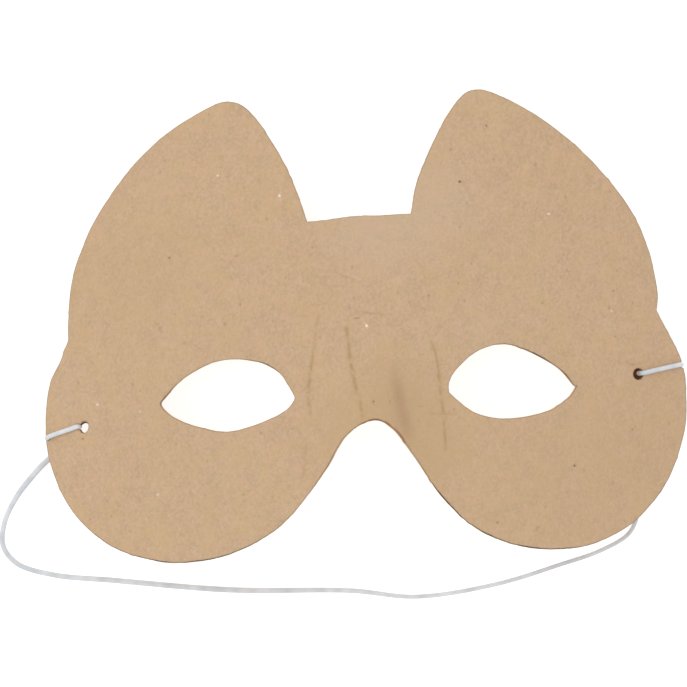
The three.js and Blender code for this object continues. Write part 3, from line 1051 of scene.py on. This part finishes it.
def make_board():
    """The board as one closed mesh: front face, back face and the walls of its cut lines."""
    loops = board_loops()
    rings, plan = [], []
    for loop in loops:
        ring = list(range(len(plan), len(plan) + len(loop)))
        rings.append(ring if signed_area(loop) > 0 else ring[::-1])
        plan += loop
    rim_count = len(plan)
    plan += inner_points(loops, ROLL_WIDTH)
    near_rim_count = len(plan)
    plan += inner_points(loops, SECOND_ROW_WIDTH)
    plan += [p for p, _ in crease_points()] + fleck_points() + grid_points(loops)
    found = delaunay_2d_cdt(plan, [], rings, 1, 1e-7)
    flat, origins = found[0], found[3]
    triangles = [face for face, inside in zip(found[2], found[5]) if list(inside) == [0]]
    rim_of, near_rim = {}, set()
    for new, old in enumerate(origins):
        for i in old:
            if i < rim_count:
                rim_of[i] = new
            if i < near_rim_count:
                near_rim.add(new)
    used = sorted({i for face in triangles for i in face} | set(rim_of.values()))
    kept = {old: new for new, old in enumerate(used)}
    flat = [flat[i] for i in used]
    triangles = [tuple(kept[i] for i in face) for face in triangles]
    rim_of = {i: kept[new] for i, new in rim_of.items()}
    near_rim = {kept[i] for i in near_rim if i in kept}
    on_rim = set(rim_of.values())

    verts, crease, shoulder_shade, cut, edge_shade, rub, fleck, tone = [], [], [], [], [], [], [], []
    for i, p in enumerate(flat):
        deep, strength = crease_depth(p)
        roll = 0.16 * MM if i in on_rim else 0.0
        verts.append(Vector((p.x, p.y, sheet_height(p.x, p.y) + relief(p) - deep - roll)))
        crease.append(strength)
        shoulder_shade.append(shoulder_shade_strength(p))
        edge_shade.append(edge_shade_strength(p) if i in near_rim else 0.0)
        # where the painted shade is strong, it reaches a little way in from the rim
        inside = 0.4 * ramp(edge_shade[-1], 0.6, 1.0)
        cut.append(1.0 if i in on_rim else inside)
        rub.append(rub_strength(p) if i in near_rim else 0.0)
        fleck.append(fleck_strength(p))
        tone.append(tone_strength(p))
    count = len(flat)
    for i, p in enumerate(flat):
        roll = 0.06 * MM if i in on_rim else 0.0
        verts.append(back_point(p) + Vector((0, 0, relief(p) + roll)))
        crease.append(0.0)
        shoulder_shade.append(0.0)
        cut.append(1.0 if i in on_rim else 0.0)
        edge_shade.append(edge_shade_strength(p) if i in near_rim else 0.0)
    faces = list(triangles)
    faces += [tuple(count + i for i in reversed(face)) for face in triangles]

    first = 0
    for number, loop in enumerate(loops):
        # the walls of the thread holes are marked 3.0 for their dark painted shade
        wall = 3.0 if number in THREAD_HOLE_LOOPS else 2.0
        columns = []
        for i, p in enumerate(loop):
            top = rim_of[first + i]
            column = [top]
            for row in range(1, WALL_ROWS):
                share = row / WALL_ROWS
                jut = 0.07 * MM * wobble((first + i * 0.45, row * 1.3), 1.0, 4.0)
                out = outward(loop, i) * (jut + 0.05 * MM * math.sin(math.pi * share))
                place = verts[top].lerp(verts[count + top], share)
                verts.append(place + Vector((out.x, out.y, 0)))
                crease.append(0.0)
                shoulder_shade.append(0.0)
                cut.append(wall)
                edge_shade.append(edge_shade_strength(p))
                column.append(len(verts) - 1)
            columns.append(column + [count + top])
        for i, here in enumerate(columns):
            there = columns[(i + 1) % len(columns)]
            for row in range(WALL_ROWS):
                faces.append((here[row], here[row + 1], there[row + 1], there[row]))
        first += len(loop)

    mesh = bpy.data.meshes.new("kraft_mask")
    mesh.from_pydata(verts, [], faces)
    mesh.transform(Matrix.Rotation(-RESTING_TILT, 4, "X"))
    low = [min(v.co[k] for v in mesh.vertices) for k in range(3)]
    high = [max(v.co[k] for v in mesh.vertices) for k in range(3)]
    cad_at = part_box("mask_board")
    middle = [(cad_at[0][k] + cad_at[1][k] - low[k] - high[k]) / 2 for k in range(2)]
    mesh.transform(Matrix.Translation((middle[0], middle[1], cad_at[0][2] - low[2])))
    mesh.update()
    marks = {
        "crease": crease,
        "shoulder_shade": shoulder_shade,
        "cut": cut,
        "edge_shade": edge_shade,
        "rub": rub,
        "fleck": fleck,
        "tone": tone,
    }
    for name, values in marks.items():
        layer = mesh.attributes.new(name, "FLOAT", "POINT")
        layer.data.foreach_set("value", values + [0.0] * (len(verts) - len(values)))
    mesh.polygons.foreach_set("use_smooth", [True] * len(mesh.polygons))
    mesh.set_sharp_from_angle(angle=math.radians(50))
    board = bpy.data.objects.new("kraft_mask", mesh)
    bpy.context.scene.collection.objects.link(board)
    return board


# Studio
def make_studio():
    """The pale floor, the even surroundings and two soft lamps."""
    floor_mesh = bpy.data.meshes.new("floor")
    half = FLOOR_HALF
    corners = [(-half, -half, 0), (half, -half, 0), (half, half, 0), (-half, half, 0)]
    floor_mesh.from_pydata(corners, [], [(0, 1, 2, 3)])
    floor = bpy.data.objects.new("floor", floor_mesh)
    bpy.context.scene.collection.objects.link(floor)
    shader = Shader("pale_floor")
    shader.bsdf.inputs["Emission Color"].default_value = (1, 1, 1, 1)
    reach = shader.vector("SUBTRACT", shader.millimetres, SHADE_MIDDLE)
    reach = shader.vector("DIVIDE", reach, SHADE_SIZE)
    length = shader.add("ShaderNodeVectorMath", operation="LENGTH")
    shader.plug(reach, length.inputs[0])
    # painted shade: dark brown and without glow under the right hole, where it is seen through the hole
    open_floor = shader.band(length.outputs["Value"], 0.75, 1.1)
    shader.plug(shader.mix(open_floor, SHADE_BROWN, FLOOR_GREY), shader.bsdf.inputs["Base Color"])
    glow = shader.math("MULTIPLY", open_floor, FLOOR_GLOW)
    shader.plug(glow, shader.bsdf.inputs["Emission Strength"])
    shader.bsdf.inputs["Roughness"].default_value = 0.9
    shader.bsdf.inputs["Specular IOR Level"].default_value = 0.1
    floor_mesh.materials.append(shader.material)

    world = bpy.data.worlds.new("studio")
    bpy.context.scene.world = world
    world.use_nodes = True
    background = world.node_tree.nodes["Background"]
    background.inputs["Color"].default_value = (1, 1, 1, 1)
    background.inputs["Strength"].default_value = SURROUNDINGS
    for name, place, size, power in LAMPS:
        lamp = bpy.data.lights.new(name, "AREA")
        lamp.shape = "SQUARE"
        lamp.size = size
        lamp.energy = power
        light = bpy.data.objects.new(name, lamp)
        light.location = place
        light.rotation_euler = (-Vector(place)).to_track_quat("-Z", "Y").to_euler()
        bpy.context.scene.collection.objects.link(light)
    bpy.context.scene.view_settings.view_transform = "Standard"


make_camera()
thread, thread_line = make_thread()
left_knot = make_knot("left_thread_knot", "left_knot", (2.2, 3.4, -1.2))
right_knot = make_knot("right_thread_knot", "right_knot", (-1.0, 4.0, -0.4))
board = make_board()
make_studio()

kraft = kraft_material()
elastic = elastic_material()
board.data.materials.append(kraft)
for piece in (thread, left_knot, right_knot):
    piece.data.materials.clear()
    piece.data.materials.append(elastic)
    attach(piece, "root")
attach(board, "root")
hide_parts("mask_board")
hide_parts("elastic_thread")
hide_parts("left_knot")
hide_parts("right_knot")
